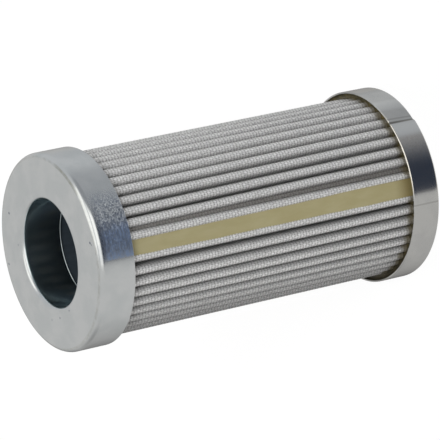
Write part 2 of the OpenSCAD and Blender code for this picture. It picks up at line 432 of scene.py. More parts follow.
@dataclass(frozen=True)
class WovenWire:
    """Woven steel wire on the pleats: bright ribs, darker gaps between them that are partly painted shade,
    painted shade deep between the pleats, and adhesive soaked in at the low end.
    """

    name: str = "woven_wire"
    colour: Colour = (0.74, 0.742, 0.745)
    # The gap colour is partly painted shade between the ribs.
    gap_colour: Colour = (0.32, 0.318, 0.32)
    stain_colour: Colour = (0.09, 0.075, 0.04)
    stain_z: Span = (6.4, 8.0)
    metallic: float = 0.45
    roughness: float = 0.36
    relief: float = 0.05
    rib_pitch: float = 0.778
    warp_pitch: float = 0.48
    tip_r: Span = (20.35, 21.05)
    low_z: Span = (10.0, 75.0)
    lit_above: Arc = (-20.0, 17.0, 42.0)
    lit_below: Arc = (-152.0, 9.0, 22.0)
    dim_arc: Arc = (-192.0, 20.0, 72.0)

    def material(self) -> Material:
        """Builds the material on UV millimetres: across is along the fold's profile, along is the axis.

        A rib is the wave of a cosine along the axis, dented where the warp wires cross it. The
        crossings are a chequer: the product of two cosines, of twice the ribs' and the warp's pitch.
        Painted shade darkens the gaps between the pleats with their depth, more towards the closed cap and
        on one side, and least where the light falls into them.
        """
        shader = Shader(self.name)
        across, along = shader.uv
        z = shader.place[2]
        wave = shader.cosine(along, self.rib_pitch) * 0.5 + 0.5
        warp = shader.cosine(across, self.warp_pitch) * 0.5 + 0.5
        chequer = shader.cosine(along, 2 * self.rib_pitch) * shader.cosine(across, 2 * self.warp_pitch)
        cloud = shader.noise(shader.vector(across * 0.5, along * 0.18, 0.0), 1.0, 3.0, 0.6)
        bead = shader.noise(shader.vector(across * 1.1, along / self.rib_pitch, 3.0), 1.0, 1.0, 0.6)
        speckle = shader.noise(shader.vector(across * 3.0, along * 3.0, 7.0), 1.0, 1.0)
        pattern = wave * 0.52 + (speckle - 0.5) + chequer * 0.34 + (warp - 0.5) * 0.4
        rib = shader.rise(pattern, -0.32, 0.58)
        dull = shader.rise(bead, 0.35, 0.72) * 0.3 + shader.rise(cloud, 0.4, 0.7) * 0.15
        # The gaps between the ribs take the gap colour, partly as painted shade.
        metal = shader.mix(dull, shader.mix(rib, self.gap_colour, self.colour), self.gap_colour)

        # Painted shade between the pleats: deeper towards the roots and the closed cap and on the side round
        # -192°, less where light falls in.
        low = shader.fall(z, *self.low_z)
        lit = shader.facing(*self.lit_above) * (0.6 - low * 0.32) + shader.facing(*self.lit_below) * 0.65
        depth = shader.fall(shader.radius, *self.tip_r) * (low * 0.1 + 0.38)
        shadow = 1.0 - (1.0 - depth * (1.0 - lit)) * (1.0 - shader.facing(*self.dim_arc) * 0.5)
        stain = shader.fall(z + (cloud - 0.5) * 3.0, *self.stain_z) * 0.85
        colour = shader.mix(stain, shader.mix(shadow, metal, BLACK), self.stain_colour)
        height = rib * 0.5 + warp * 0.2 + chequer * 0.15 + speckle * 0.15
        roughness, metallic = self.roughness + 0.25 * (1.0 - rib), self.metallic - 0.4 * stain
        return shader.surface(colour, roughness, shader.bump(height, self.relief), metallic)


@dataclass(frozen=True)
class LayerFibre:
    """Fleece or glass fibre of the hidden layers: matte and finely tangled."""

    name: str
    colour: Colour
    dark_share: float = 0.8
    roughness: float = 0.9

    def material(self) -> Material:
        """Builds the material."""
        shader = Shader(self.name)
        tangle = shader.cloud(4.0, 4.0, 0.7)
        colour = shader.mix(tangle, self.colour, tuple(self.dark_share * c for c in self.colour))
        return shader.surface(colour, self.roughness, shader.bump(tangle, 0.03))


@dataclass(frozen=True)
class CuredResin:
    """Khaki resin of the seam strip: matte, faintly cloudy, browner by the caps."""

    name: str = "cured_resin"
    colour: Colour = (0.222, 0.196, 0.098)
    pale_colour: Colour = (0.242, 0.218, 0.119)
    end_colour: Colour = (0.135, 0.102, 0.036)
    roughness: float = 0.5
    low_end: Span = (7.0, 11.0)
    high_end: Span = (79.0, 81.0)

    def material(self) -> Material:
        """Builds the material."""
        shader = Shader(self.name)
        z = shader.place[2]
        cloud = shader.cloud(0.5, 3.0, 0.55, (1.0, 1.0, 0.35))
        grain = shader.cloud(5.0)
        browned = shader.fall(z, *self.low_end) * 0.7 + shader.rise(z, *self.high_end) * 0.4
        body = shader.mix(shader.rise(cloud, 0.3, 0.7), self.colour, self.pale_colour)
        colour = shader.mix(browned, body, self.end_colour)
        roughness = self.roughness + 0.2 * (cloud - 0.5)
        return shader.surface(colour, roughness, shader.bump(cloud * 0.7 + grain * 0.3, 0.04))


@dataclass(frozen=True)
class PotAdhesive:
    """Olive adhesive that holds the pleats in the caps, dark partly as painted shade, and darker on one side
    in painted shade.
    """

    name: str = "pot_adhesive"
    # Dark olive, partly painted shade for adhesive deep in the cups.
    colour: Colour = (0.045, 0.04, 0.02)
    pale_colour: Colour = (0.12, 0.095, 0.04)
    dark_share: float = 0.2
    painted_shade_arc: Arc = (-190.0, 25.0, 75.0)
    roughness: float = 0.45

    def material(self) -> Material:
        """Builds the material."""
        shader = Shader(self.name)
        cloud = shader.cloud(0.6, 4.0, 0.6)
        body = shader.mix(shader.rise(cloud, 0.4, 0.75), self.colour, self.pale_colour)
        dark_colour = tuple(self.dark_share * c for c in self.colour)
        # Painted shade: darker on the side round -190°.
        colour = shader.mix(shader.facing(*self.painted_shade_arc) * 0.75, body, dark_colour)
        return shader.surface(colour, self.roughness + 0.3 * (cloud - 0.5), shader.bump(cloud, 0.15))


@dataclass(frozen=True)
class StudioPaper:
    """White paper that shows white to the camera and in metal, and keeps a faint shadow."""

    name: str = "studio_paper"
    albedo: float = 0.85
    white: float = 1.0
    shown_share: float = 0.93

    def material(self) -> Material:
        """Builds the material: plain white light mixed over lit paper for camera and mirror rays."""
        shader = Shader(self.name)
        rays = shader.node("LightPath").outputs
        seen: Number = 0.0
        for kind in ("Camera", "Glossy", "Transmission"):
            seen = shader.maths("MAXIMUM", seen, Value(shader, rays[f"Is {kind} Ray"]))
        paper = shader.node("BsdfDiffuse", {"Color": (self.albedo,) * 3 + (1.0,)})
        white = shader.glow((self.white,) * 3)
        mixed = {0: seen * self.shown_share, 1: paper.outputs[0], 2: white.outputs[0]}
        return shader.close(shader.node("MixShader", mixed))


@dataclass(frozen=True)
class StudioRoom:
    """Light tent on a table, as a map of directions: all that the metal mirrors.

    Elevation is measured from the table's plane, and azimuth from the side of the camera towards
    its right. The table tilts with the element, which was photographed lying.
    """

    name: str = "studio_room"
    camera_tilt: float = 27.0
    wall_colour: Colour = (0.53, 0.536, 0.54)
    shade_colour: Colour = (0.036, 0.0455, 0.068)
    shade_at: Place = (18.0, 65.0)
    shade_core: Span = (14.0, 58.0)
    shade_fringe: Span = (76.0, 95.0)
    ceiling: Span = (60.0, 70.0)
    corner_at: Place = (0.0, -178.0)
    corner: Span = (5.0, 35.0)
    lamp_colour: Colour = (1.22, 1.20, 1.14)
    lamp_left: Span = (-85.0, -75.0)
    lamp_right: Span = (22.0, 43.0)
    lamp_low: Span = (2.5, 7.5)
    lamp_high: Span = (57.0, 67.0)
    bar_from: Place = (0.0, -15.0)
    bar_to: Place = (35.0, -30.0)
    bar: Span = (4.0, 10.0)
    table_colour: Colour = (0.56, 0.5525, 0.54)
    table_edge: Span = (3.2, 4.6)
    under_at: Place = (-38.0, 178.0)
    under: Span = (0.0, 50.0)
    below: Span = (-90.0, -50.0)

    def surround(self, camera_axes: Sequence[Vector]) -> World:
        """Builds the surround from smooth masks of a ray's elevation, azimuth and angle from fixed places.

        Args:
            camera_axes: the camera's right, up and back directions.

        Returns:
            The world.
        """
        right, up, back = camera_axes
        cos_t, sin_t = math.cos(math.radians(self.camera_tilt)), math.sin(math.radians(self.camera_tilt))
        axes = (right, up * cos_t + back * sin_t, back * cos_t - up * sin_t)
        shader = Shader(self.name, surround=True)
        ray = shader.node("TexCoord").outputs["Generated"]
        side, over, front = (shader.dot(ray, axis) for axis in axes)
        elevation = shader.maths("ARCSINE", over) * DEGREES
        azimuth = shader.maths("ARCTAN2", side, front) * DEGREES

        def away(place: Place) -> Value:
            """Degrees between the ray and a place of the room."""
            return shader.maths("ARCCOSINE", shader.dot(ray, direction(place, *axes))) * DEGREES

        shade = away(self.shade_at)
        lit = shader.rise(shade, *self.shade_core) * 0.70 + shader.rise(shade, *self.shade_fringe) * 0.30
        room = shader.mix(lit, self.shade_colour, self.wall_colour)
        room = shader.mix(shader.rise(elevation, *self.ceiling) * 0.3, room, self.shade_colour)
        room = shader.mix(shader.fall(away(self.corner_at), *self.corner) * 0.14, room, self.shade_colour)
        lamp = shader.rise(azimuth, *self.lamp_left) * shader.fall(azimuth, *self.lamp_right)
        lamp = lamp * shader.rise(elevation, *self.lamp_low) * shader.fall(elevation, *self.lamp_high)
        bar_axis = direction(self.bar_from, *axes).cross(direction(self.bar_to, *axes)).normalized()
        from_bar = shader.maths("ABSOLUTE", shader.dot(ray, bar_axis)) * DEGREES
        room = shader.mix(lamp * (shader.rise(from_bar, *self.bar) * 0.75 + 0.25), room, self.lamp_colour)
        under = shader.fall(away(self.under_at), *self.under) * 0.6
        below = shader.fall(elevation, *self.below) * 0.45
        table = shader.mix(1.0 - (1.0 - under) * (1.0 - below), self.table_colour, BLACK)
        shown = shader.mix(shader.fall(elevation, *self.table_edge), room, table)
        return shader.close(shader.node("Background", {"Color": shown, "Strength": 1.0}))


def turned(flat: Array, angle: Array) -> Array:
    """Turns flat vectors about the axis by angles in radians, of a shape that fits theirs."""
    x, y = flat[..., 0], flat[..., 1]
    cos_a, sin_a = np.cos(angle), np.sin(angle)
    return np.stack([x * cos_a - y * sin_a, x * sin_a + y * cos_a], axis=-1)


def run_length(points: Array) -> Array:
    """Distance of each point from the first, measured along their line."""
    return np.concatenate([[0.0], np.cumsum(np.linalg.norm(np.diff(points, axis=0), axis=1))])


def row_quads(first: Array, second: Array) -> Array:
    """Quads between two equally long rows of point numbers."""
    return np.stack([first[:-1], first[1:], second[1:], second[:-1]], axis=-1)


def grid_quads(rows: int, columns: int, wrap_rows: bool = False, wrap_columns: bool = False) -> Array:
    """Quads between the points of a grid that are numbered row by row.

    Args:
        rows: number of rows of points.
        columns: number of points in a row.
        wrap_rows: joins the last row to the first.
        wrap_columns: joins the last column to the first.

    Returns:
        Array of four point numbers for each quad.
    """
    number = np.arange(rows * columns).reshape(rows, columns)
    number = np.pad(number, ((0, int(wrap_rows)), (0, int(wrap_columns))), mode="wrap")
    corners = [number[:-1, :-1], number[:-1, 1:], number[1:, 1:], number[1:, :-1]]
    return np.stack(corners, axis=-1).reshape(-1, 4)


def side_wall(fine: Array, coarse: Array) -> Array:
    """Triangles between a fine row of points and a coarser one beside it.

    Each fine stretch is joined to the coarse point nearest to it, and each coarse stretch to
    the fine point at which the nearest coarse point changes.

    Args:
        fine: point numbers of the fine row.
        coarse: point numbers of the coarse row, with the same ends.

    Returns:
        Array of three point numbers for each triangle.
    """
    cells = len(coarse) - 1
    stretch = np.arange(len(fine) - 1)
    near = np.rint((stretch + 0.5) * cells / len(stretch)).astype(int)
    change = np.searchsorted(near, np.arange(1, cells + 1))
    fans = np.stack([fine[:-1], fine[1:], coarse[near]], axis=-1)
    bridges = np.stack([fine[change], coarse[1:], coarse[:-1]], axis=-1)
    return np.concatenate([fans, bridges])


def add_piece(
    name: str, points: Array, faces: Sequence[Array], material: Material,
    uv: Optional[Array] = None, sharp_over: float = 40.0,
) -> Object:
    """Writes a surface into a new object at the origin.

    Args:
        name: name of the piece.
        points: points in millimetres, one row each.
        faces: arrays with the point numbers of one face in each row.
        material: the finish.
        uv: map position of each point, in millimetres.
        sharp_over: edges bent by more degrees than this stay sharp.

    Returns:
        The new object.
    """
    mesh = bpy.data.meshes.new(name)
    mesh.vertices.add(len(points))
    mesh.vertices.foreach_set("co", (points * MM).astype(np.float32).ravel())
    corners = np.concatenate([face.ravel() for face in faces]).astype(np.int32)
    sides = np.concatenate([np.full(len(face), face.shape[1]) for face in faces])
    mesh.loops.add(len(corners))
    mesh.loops.foreach_set("vertex_index", corners)
    mesh.polygons.add(len(sides))
    mesh.polygons.foreach_set("loop_start", (np.cumsum(sides) - sides).astype(np.int32))
    mesh.update(calc_edges=True)
    if uv is not None:
        layer = mesh.uv_layers.new(name="surface_mm")
        layer.data.foreach_set("uv", uv[corners].astype(np.float32).ravel())
    mesh.polygons.foreach_set("use_smooth", np.ones(len(sides), dtype=bool))
    mesh.set_sharp_from_angle(angle=math.radians(sharp_over))
    mesh.materials.append(material)
    piece = bpy.data.objects.new(name, mesh)
    bpy.context.scene.collection.objects.link(piece)
    log.info("%s: %d points, %d faces", name, len(points), len(sides))
    return piece


def dress(piece: Object, node: str) -> Object:
    """Lets a piece ride on the body, and hides the CAD node that it stands for."""
    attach(piece, BODY)
    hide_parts(node)
    return piece


def rounded_loop(corners: Sequence[tuple[float, ...]], arc_steps: int = 10, step: float = 1.0) -> Array:
    """Closed outline with rounded corners.

    Each corner becomes an arc that touches both of its sides, and each straight run between
    two arcs is cut into equal stretches.

    Args:
        corners: across, up and fillet radius of each corner, anticlockwise.
        arc_steps: stretches in one arc.
        step: longest stretch of a straight run.

    Returns:
        Points of the outline, one row each.
    """
    place, fillet = np.split(np.array(corners, dtype=float), [2], axis=1)
    back = np.roll(place, 1, axis=0) - place
    ahead = np.roll(place, -1, axis=0) - place
    back /= np.linalg.norm(back, axis=1, keepdims=True)
    ahead /= np.linalg.norm(ahead, axis=1, keepdims=True)
    half_angle = np.arccos(np.clip((back * ahead).sum(axis=1, keepdims=True), -1, 1)) / 2
    middle = back + ahead
    middle /= np.linalg.norm(middle, axis=1, keepdims=True)
    centre = place + middle * fillet / np.sin(half_angle)
    reach = fillet / np.tan(half_angle)
    start, end = place + back * reach, place + ahead * reach
    side = np.sign(back[:, :1] * ahead[:, 1:] - back[:, 1:] * ahead[:, :1])
    turn = np.linspace(-1, 1, arc_steps + 1)[None, :] * (math.pi / 2 - half_angle) * -side
    arcs = centre[:, None] + fillet[:, None] * turned(-middle[:, None], turn)
    runs = []
    for index, arc in enumerate(arcs):
        following = start[(index + 1) % len(arcs)]
        runs.append(arc if fillet[index, 0] > 0 else arc[:1])
        pieces = max(1, math.ceil(np.linalg.norm(following - end[index]) / step))
        share = np.arange(1, pieces)[:, None] / pieces
        runs.append(end[index] + (following - end[index]) * share)
    return np.concatenate(runs)


def lathe(
    name: str, outline: Array, columns: int, material: Material,
    relief: Optional[Callable[..., Array]] = None,
) -> Object:
    """Turns a closed outline round the axis.

    A point at radius r and angle t lies at (r cos t, r sin t). Angles start behind, on +Y.

    Args:
        name: name of the piece.
        outline: radius and height of each point, anticlockwise.
        columns: copies of the outline round the axis.
        material: the finish.
        relief: function of angle, radius and height that returns a change of radius.

    Returns:
        The new object.
    """
    start = math.pi / 2
    angle = (np.arange(columns) * TURN / columns + start)[None, :]
    radius, height, length = (
        np.repeat(column[:, None], columns, axis=1) for column in (*outline.T, run_length(outline))
    )
    if relief is not None:
        radius = radius + relief(angle, radius, height)
    points = np.stack([radius * np.cos(angle), radius * np.sin(angle), height], axis=-1)
    uv = np.stack([radius * (angle - start), length], axis=-1)
    quads = grid_quads(len(outline), columns, wrap_rows=True, wrap_columns=True)
    return add_piece(name, points.reshape(-1, 3), [quads], material, uv.reshape(-1, 2))


@dataclass
class OpenCap:
    """Pressed open cap: ring face, rounded outer corner, skirt, and neck turned in at the bore."""

    sheet: float = 0.5
    corner_r: float = 1.6
    lip_r: float = 1.0
    bore_r: float = 12.25
    skirt_h: float = 9.0
    edge_r: float = 0.16
    bead: float = 0.06
    columns: int = 360

    def build(self, finish: PlatedSteel) -> Object:
        """Builds the cap's sheet as one closed turned surface."""
        low, high = frame_box("open_end_cap")
        outer, top = high[0], high[2]
        neck_r, skirt_r, bead_r = self.bore_r + self.sheet, outer - self.sheet, self.bore_r - self.bead
        rim, neck_end, under = top - self.skirt_h, low[2], top - self.sheet
        outline = [
            (outer, rim, self.edge_r),
            (outer, top, self.corner_r),
            (self.bore_r, top, self.lip_r),
            (self.bore_r, neck_end + 2 * self.bead, 0.0),
            (bead_r, neck_end + self.bead, 0.0),
            (bead_r, neck_end, 0.0),
            (neck_r, neck_end, self.edge_r),
            (neck_r, under, self.lip_r - self.sheet),
            (skirt_r, under, self.corner_r - self.sheet),
            (skirt_r, rim, self.edge_r),
        ]
        cap = lathe("open_cap_sheet", rounded_loop(outline), self.columns, finish.material())
        return dress(cap, "open_end_cap")


@dataclass
class ClosedCap:
    """Pressed closed cap with a shorter skirt, a sheared rim, whose bright line is a painted highlight in
    its steel, and one dented stretch of skirt.
    """

    sheet: float = 0.5
    corner_r: float = 0.5
    edge_r: float = 0.24
    centre_r: float = 0.02
    crease_angle: float = math.radians(-48.0)
    crease_width: float = math.radians(0.9)
    crease_depth: float = 0.07
    dent_depth: float = 0.36
    dent_step: float = math.radians(0.54)
    dent_reach: float = math.radians(24.0)
    columns: int = 720

    def dent(self, angle: Array, radius: Array, height: Array) -> Array:
        """Relief of the dent: a narrow groove, and beyond it a step that grows down to the face.

        The groove is a bell curve of the angle. The step rises as a hyperbolic tangent, fades as
        an exponential of the angle beyond the groove, and falls to nothing at the rim.
        """
        beyond = (angle - self.crease_angle + math.pi) % TURN - math.pi
        groove = self.crease_depth * np.exp(-((beyond / self.crease_width) ** 2))
        down = np.clip(1.0 - height / self.rim, 0.0, 1.0)
        rise = 0.5 + 0.5 * np.tanh(beyond / self.dent_step)
        step = self.dent_depth * down * rise * np.exp(-np.maximum(beyond, 0.0) / self.dent_reach)
        return -(groove + step) * (radius > self.outer - 2 * self.corner_r)

    def build(self, finish: PlatedSteel) -> Object:
        """Builds the cap's sheet as one closed turned surface."""
        self.outer, _, self.rim = frame_box("closed_end_cap")[1]
        skirt_r = self.outer - self.sheet
        outline = [
            (self.centre_r, 0.0, 0.0),
            (self.outer, 0.0, self.corner_r),
            (self.outer, self.rim, self.edge_r),
            (skirt_r, self.rim, self.edge_r),
            (skirt_r, self.sheet, self.corner_r - self.sheet),
            (self.centre_r, self.sheet, 0.0),
        ]
        cap = lathe("closed_cap_sheet", rounded_loop(outline), self.columns, finish.material(), self.dent)
        return dress(cap, "closed_end_cap")


@dataclass
class PleatPack:
    """Folded layers of the pack: the outer wire mesh, ribbed across each fold, and what lies under it.

    Every layer follows the same folds, and the pleats lean as the photographed ones do. The
    spiral, the sway and the leans of the pleats beside the seam, first to last, are in degrees.
    """

    tip_r: float = 20.9
    pack_t: float = 0.8
    mesh_t: float = 0.22
    tip_fold_r: float = 0.27
    root_fold_r: float = 0.06
    root_centre_r: float = 14.41
    places: int = 47
    rib_pitch: float = 0.778
    rib_depth: float = 0.045
    rib_rows: int = 5
    groups: int = 6
    tip_steps: int = 8
    root_steps: int = 2
    flank_stops: tuple[float, ...] = (0.35, 0.12)
    inner_cells: int = 10
    spiral: float = 2.3
    spiral_top: float = 75.0
    spiral_length: float = 60.0
    spiral_side: float = math.radians(60.0)
    spiral_stretch: float = 0.75
    calm_share: float = 0.3
    sway: float = 0.2
    sway_steady: float = 0.4
    sway_slope: float = 0.5
    sway_wave: float = 0.3
    sway_waves: float = 1.7
    first_open: float = -0.7
    first_closed: float = 0.5
    second_extra: float = 0.15
    last_extra: float = 1.0
    lap_place: float = 1.5
    lap_r: float = 19.9
    lap_rise: float = 0.7
    lap_width: float = 1.9
    lap_lean: float = 0.85
    lap_cells: int = 8
    sharp_over: float = 75.0
    seed: int = 7

    def __post_init__(self) -> None:
        """Works out the folds: pitch, fold centres and the direction square to a flank."""
        self.pitch = TURN / self.places
        self.tip_turn_r = self.tip_fold_r + self.pack_t
        self.tip_centre_r = self.tip_r - self.tip_turn_r
        self.tip_centre = np.array([0.0, self.tip_centre_r])
        half = self.pitch / 2
        self.root_centre = self.root_centre_r * np.array([math.sin(half), math.cos(half)])
        run, drop = self.root_centre - self.tip_centre
        tangent = math.acos((self.tip_turn_r + self.root_fold_r) / math.hypot(run, drop))
        self.flank_angle = math.atan2(drop, run) + tangent

    def fold_profile(self, depth: float) -> tuple[Array, Array, Array]:
        """Outline of one pleat on +Y from its right root to its left root.

        A flank touches the tip's circle and the root's circle. Its points lie at set shares of
        the way from the tip, close together where the fold can be seen.

        Args:
            depth: depth below the outermost face.

        Returns:
            Points, the outward direction at each, and how much of the relief each point takes.
        """
        flank_angle = self.flank_angle
        turn = np.linspace(flank_angle, math.pi - flank_angle, self.tip_steps + 1)
        tip_out = np.stack([np.cos(turn), np.sin(turn)], axis=-1)
        tip = self.tip_centre + (self.tip_turn_r - depth) * tip_out
        root_r = self.root_fold_r + depth
        flank_end = self.root_centre - root_r * tip_out[0]
        flank = tip[0] + (flank_end - tip[0]) * np.array(self.flank_stops)[:, None]
        turn = np.linspace(-(math.pi + self.pitch) / 2, flank_angle - math.pi, self.root_steps + 1)
        root_out = -np.stack([np.cos(turn), np.sin(turn)], axis=-1)
        root = self.root_centre - root_r * root_out
        right = np.concatenate([root, flank])
        right_out = np.concatenate([root_out, np.repeat(tip_out[:1], len(flank), axis=0)])
        flip = np.array([-1.0, 1.0])
        points = np.concatenate([right, tip, (right * flip)[::-1]])
        out = np.concatenate([right_out, tip_out, (right_out * flip)[::-1]])
        weight = np.ones(len(points))
        weight[: len(root)] = weight[-len(root) :] = 0.0
        return points, out, weight

    def group_profile(self, pleats: Array, depth: float) -> tuple[Array, ...]:
        """Outline of neighbouring pleats, turned so that the seam faces -Y.

        Args:
            pleats: numbers of the pleats, counted from the seam.
            depth: depth below the outermost face.

        Returns:
            Points, outward directions, relief weights and the pleat number of each point.
        """
        points, out, weight = (part[:-1] for part in self.fold_profile(depth))
        angle = (pleats * self.pitch + math.pi)[:, None]
        flat, outward = (turned(part[None], angle).reshape(-1, 2) for part in (points, out))
        return flat, outward, np.tile(weight, len(pleats)), np.repeat(pleats, len(points))

    def lean(self, number: Array, height: Array) -> Array:
        """Angle by which each tip leans round the axis, in radians.

        The tips drift round in a slow spiral that grows towards the closed cap. It is strongest
        on one side of the element and falls off as a cosine of the angle from it. A small steady
        lean, slope and wave are added at random, and the pleats beside the seam lean by their own.

        Args:
            number: pleat number of each point.
            height: heights of the rows.

        Returns:
            Angles as rows by points.
        """
        random = np.random.default_rng(self.seed)
        steady, slope, wave, phase = random.uniform(-1, 1, (4, self.places + 1))
        turn = number * self.pitch - self.spiral_side
        share = self.calm_share + (1 - self.calm_share) * np.maximum(0.0, np.cos(self.spiral_stretch * turn))
        drift = (self.spiral_top - height)[:, None] / self.spiral_length
        way = (height / height.max())[:, None]
        loose = self.sway_steady * steady[number] + self.sway_slope * slope[number] * (way - 0.5)
        waving = np.sin(TURN * (self.sway_waves * way + phase[number]))
        loose = self.sway * (loose + self.sway_wave * wave[number] * waving)
        degrees = self.spiral * share * drift + loose + self.second_extra * (number == 2)
        first = self.first_closed + (self.first_open - self.first_closed) * way
        degrees = np.where(number == 1, first, degrees)
        degrees = np.where(number == self.places - 1, self.last_extra, degrees)
        return np.radians(degrees)

    def leaning(self, flat: Array, number: Array, height: Array) -> Array:
        """Shifts the outline's points sideways: by the full lean at the tips and not at all at the roots.

        Args:
            flat: points of the outline.
            number: pleat number of each point.
            height: heights of the rows.

        Returns:
            Points of all rows, as rows by points by 2.
        """
        radius = np.linalg.norm(flat, axis=1)
        lift = np.clip((radius - self.root_centre_r) / (self.tip_centre_r - self.root_centre_r), 0, 1)
        return turned(flat[None], self.lean(number, height) * lift)

    def build(self, finish: WovenWire) -> list[Object]:
        """Builds the outer mesh in groups of pleats, each a closed band with a ribbed outer face.

        A rib is round: its height over the gap is the root of one less the square of the way
        from its crest.
        """
        node = "outer_wire_mesh"
        ribs = round(np.ptp(levels(node, 1)) / self.rib_pitch)
        height, inner_height = levels(node, ribs * self.rib_rows), levels(node, self.inner_cells)
        from_crest = 2 * np.abs((height / self.rib_pitch + 0.5) % 1.0 - 0.5)
        rib = np.sqrt(np.clip(1.0 - from_crest**2, 0.0, 1.0))
        material = finish.material()
        pieces = []
        for group, pleats in enumerate(np.array_split(np.arange(1, self.places), self.groups)):
            flat, out, weight, number = self.group_profile(pleats, 0.0)
            sink = self.rib_depth * (1.0 - rib)[:, None] * weight[None, :]
            outer = self.leaning(flat, number, height) - sink[:, :, None] * out[None, :, :]
            inner = self.leaning(self.group_profile(pleats, self.mesh_t)[0], number, inner_height)
            name = f"wire_mesh_pleats_{group + 1}"
            piece = self.band(name, (outer, height), (inner, inner_height), flat, material)
            pieces.append(dress(piece, node))
        return pieces

    def add_lap(self, finish: WovenWire) -> Object:
        """Builds the low lap of mesh that lies between the two pleats beside the seam.

        Its outline is the half wave of a cosine, and it leans by the mean of its neighbours.
        """
        height = levels("outer_wire_mesh", 2 * self.inner_cells)
        turn = np.linspace(-0.5, 0.5, self.lap_cells + 1)
        rise = self.lap_r - self.lap_rise * (1.0 - np.cos(math.pi * turn))
        flat = np.stack([-turn * self.lap_width, rise], axis=-1)
        lean = self.lean(np.array([1, 2]), height).mean(axis=1)[:, None] * self.lap_lean
        angle = self.lap_place * self.pitch + math.pi + lean
        outer, inner = ((turned(flat - (0.0, depth), angle), height) for depth in (0.0, self.mesh_t))
        piece = self.band("wire_mesh_lap", outer, inner, flat, finish.material())
        return dress(piece, "outer_wire_mesh")

    def add_layer(self, node: str, depths: Span, material: Material) -> Object:
        """Builds one layer under the outer mesh as a closed band of even thickness.

        Args:
            node: the CAD node that the layer stands for.
            depths: depths of its outer and inner face below the outermost face.
            material: its finish.

        Returns:
            The piece.
        """
        height = levels(node, self.inner_cells)
        faces = []
        for depth in depths:
            flat, _, _, number = self.group_profile(np.arange(1, self.places), depth)
            faces.append((self.leaning(flat, number, height), height))
        return dress(self.band(node + "_folds", *faces, flat, material), node)

    def band(self, name: str, outer: Sheet, inner: Sheet, flat: Array, material: Material) -> Object:
        """Joins an outer and an inner face to a closed band.

        Args:
            name: name of the piece.
            outer: the outer face.
            inner: the inner face, which may have fewer rows.
            flat: outline that the map's first coordinate runs along.
            material: the finish.

        Returns:
            The piece.
        """
        sheets = []
        for plane, height in (outer, inner):
            level = np.repeat(height[:, None, None], plane.shape[1], axis=1)
            sheets.append(np.concatenate([plane, level], axis=2).reshape(-1, 3))
        points = np.concatenate(sheets)
        rows, inner_rows, columns = len(outer[1]), len(inner[1]), len(flat)
        uv = np.stack([np.tile(run_length(flat), rows + inner_rows), points[:, 2]], axis=-1)
        number = np.arange((rows + inner_rows) * columns).reshape(-1, columns)
        front, back = number[:rows], number[rows:]
        faces = [
            grid_quads(rows, columns),
            grid_quads(inner_rows, columns)[:, ::-1] + rows * columns,
            row_quads(back[0], front[0]),
            row_quads(front[-1], back[-1]),
            side_wall(front[:, 0], back[:, 0]),
            side_wall(front[:, -1], back[:, -1])[:, ::-1],
        ]
        return add_piece(name, points, faces, material, uv, self.sharp_over)


@dataclass
class HiddenLayers:
    """The five layers under the outer wire mesh, from the outside inwards, with their thicknesses."""

    outer_mesh_t: float = 0.22
    layers: tuple[tuple[str, Slot, float], ...] = (
        ("outer_fleece", Slot.FLEECE, 0.06),
        ("coarse_media", Slot.GLASS, 0.14),
        ("fine_media", Slot.GLASS, 0.14),
        ("inner_fleece", Slot.FLEECE, 0.06),
        ("inner_wire_mesh", Slot.WIRE, 0.18),
    )

    def build(self, pack: PleatPack) -> None:
        """Builds each layer on the folds of the pack."""
        finishes = {
            Slot.WIRE: WovenWire(name="inner_woven_wire").material(),
            Slot.FLEECE: LayerFibre("fleece_fibre", (0.7, 0.69, 0.62)).material(),
            Slot.GLASS: LayerFibre("glass_fibre", (0.8, 0.8, 0.78)).material(),
        }
        depth = self.outer_mesh_t
        for node, slot, thick in self.layers:
            pack.add_layer(node, (depth, depth + thick), finishes[slot])
            depth += thick


@dataclass
class SeamStrip:
    """Cured strip between the two pleats beside the seam, flat on its face and wetted up at its edges."""

    left_y: float = 20.62
    closed_y: float = 20.62
    open_y: float = 20.2
    half_width: float = 2.25
    foot_half: float = 0.3
    foot_y: float = 13.52
    shoulder_half: float = 0.9
    shoulder_y: float = 14.6
    edge_rise: float = 0.05
    edge_power: int = 6
    wave_depth: float = 0.012
    wave_sizes: tuple[float, ...] = (1.3, 3.1, 7.0)
    columns: int = 13
    rows: int = 150
    seed: int = 3

    def build(self, finish: CuredResin) -> Object:
        """Builds the strip: its section is carried along the axis.

        The face level is the same all along its left edge. Along its right edge it sinks evenly
        towards the open cap. It curls up at both edges as a high power of the way across, and
        small waves, a sum of sines, are added to it.
        """
        height = levels("seam_strip", self.rows - 1)
        way = ((height - height[0]) / np.ptp(height))[:, None]
        phase = np.random.default_rng(self.seed).uniform(0, TURN, len(self.wave_sizes))
        ripple = sum(self.wave_depth * np.sin(height / size + p) for size, p in zip(self.wave_sizes, phase))
        across = np.linspace(-1, 1, self.columns)
        right_y = self.closed_y + (self.open_y - self.closed_y) * way
        level = self.left_y + (right_y - self.left_y) * (0.5 + 0.5 * across) + ripple[:, None]
        face_y = level + self.edge_rise * np.abs(across) ** self.edge_power
        foot_x = np.array([self.shoulder_half, self.foot_half, -self.foot_half, -self.shoulder_half])
        foot_y = np.array([self.shoulder_y, self.foot_y, self.foot_y, self.shoulder_y])
        x = np.tile(np.concatenate([across * self.half_width, foot_x]), (self.rows, 1))
        y = np.concatenate([face_y, np.tile(foot_y, (self.rows, 1))], axis=1)
        z = np.repeat(height[:, None], x.shape[1], axis=1)
        points = np.stack([x, -y, z], axis=-1).reshape(-1, 3)
        ring = np.arange(x.shape[1])
        half = len(ring) // 2
        pairs = row_quads(ring[:half], ring[::-1][:half])
        ends = np.concatenate([pairs[:, ::-1], pairs + (self.rows - 1) * len(ring)])
        sides = grid_quads(self.rows, len(ring), wrap_columns=True)
        strip = add_piece("seam_resin_strip", points, [sides, ends], finish.material())
        return dress(strip, "seam_strip")


